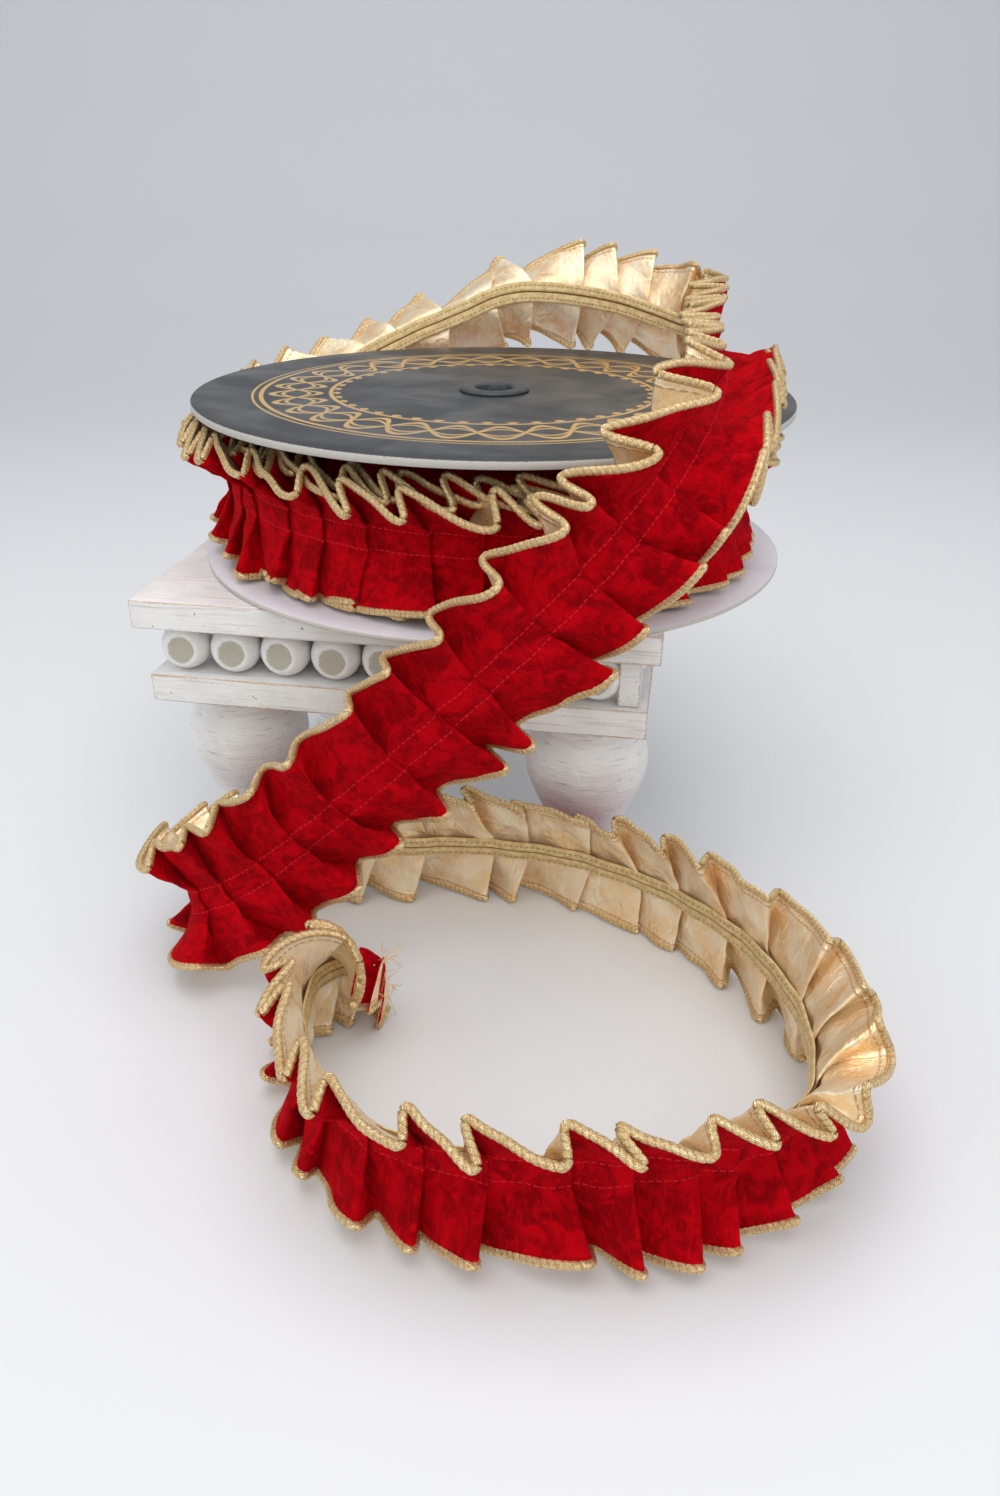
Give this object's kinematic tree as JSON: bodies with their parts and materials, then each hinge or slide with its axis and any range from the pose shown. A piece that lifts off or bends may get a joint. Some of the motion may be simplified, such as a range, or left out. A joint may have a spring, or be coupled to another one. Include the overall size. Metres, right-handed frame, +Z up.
{
  "type": "roll of wired ribbon on a stand",
  "caption": "Pleated velvet and metallic wired ribbon wound on a flat spool, its loose end falling over a footed wooden stand into a loop on the table.",
  "frame": {"origin": "middle of the whole object's box, on the table under the stand's feet", "axes": "+Z up, -Y the front, where the loose end lies in its loop, +X to the right as seen from the front"},
  "size_m": [0.2866, 0.4602, 0.2468],
  "materials": {
    "ribbon_cloth": "red crushed velvet with a gold metallic back",
    "edge_cord": "champagne metallic braid over wire",
    "back_tape": "flat gold metallic tape",
    "dark_board": "grey board faced with dark printed paper",
    "pale_board": "pale faced board",
    "hub_board": "dark wound board tube",
    "painted_wood": "worn white paint on sawn and turned wood"
  },
  "bodies": {
    "root": {"stand_top_board": "painted_wood", "stand_middle_block": "painted_wood", "stand_lower_board": "painted_wood", "stand_foot_1": "painted_wood", "stand_foot_2": "painted_wood", "stand_foot_3": "painted_wood", "stand_foot_4": "painted_wood", "lower_flange": "pale_board", "upper_flange": "dark_board", "hub": "hub_board", "wound_ribbon": "ribbon_cloth", "loose_ribbon": "ribbon_cloth", "upper_edge_cord": "edge_cord", "lower_edge_cord": "edge_cord", "centre_tape": "back_tape"}
  },
  "joints": []
}
